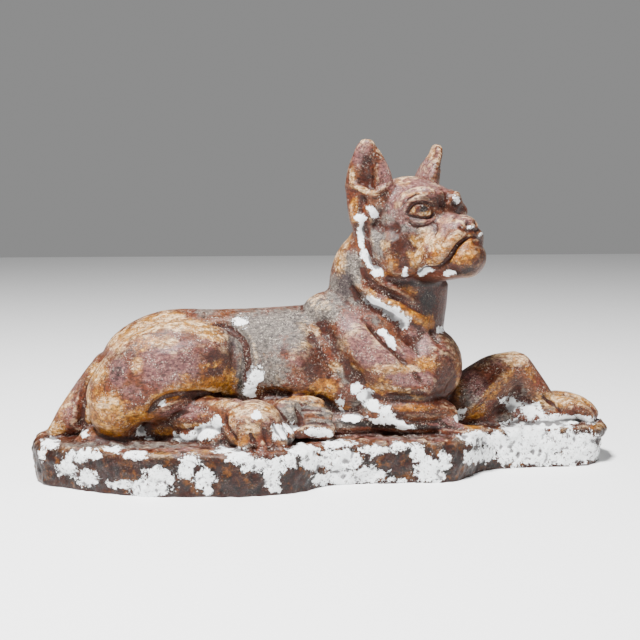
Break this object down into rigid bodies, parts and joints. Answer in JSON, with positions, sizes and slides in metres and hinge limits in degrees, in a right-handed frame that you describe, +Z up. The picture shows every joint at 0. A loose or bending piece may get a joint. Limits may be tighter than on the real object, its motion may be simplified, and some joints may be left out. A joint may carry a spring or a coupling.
{
  "type": "plaster dog statue",
  "caption": "Reclining short-muzzled dog with cropped upright ears and turned head, cast with its rocky base as one old plaster piece with a worn brown finish.",
  "frame": {"origin": "centre of the base's length and depth, on its flat underside", "axes": "+X the way the lying body faces, towards the front paw; +Y the dog's left, away from the side the head looks to; +Z up"},
  "size_m": [0.6044, 0.1781, 0.3369],
  "materials": {
    "worn_finish_on_plaster": "old brown and amber finish, dusty and flaking from white plaster"
  },
  "bodies": {
    "root": {"dog_statue": "worn_finish_on_plaster"}
  },
  "joints": []
}
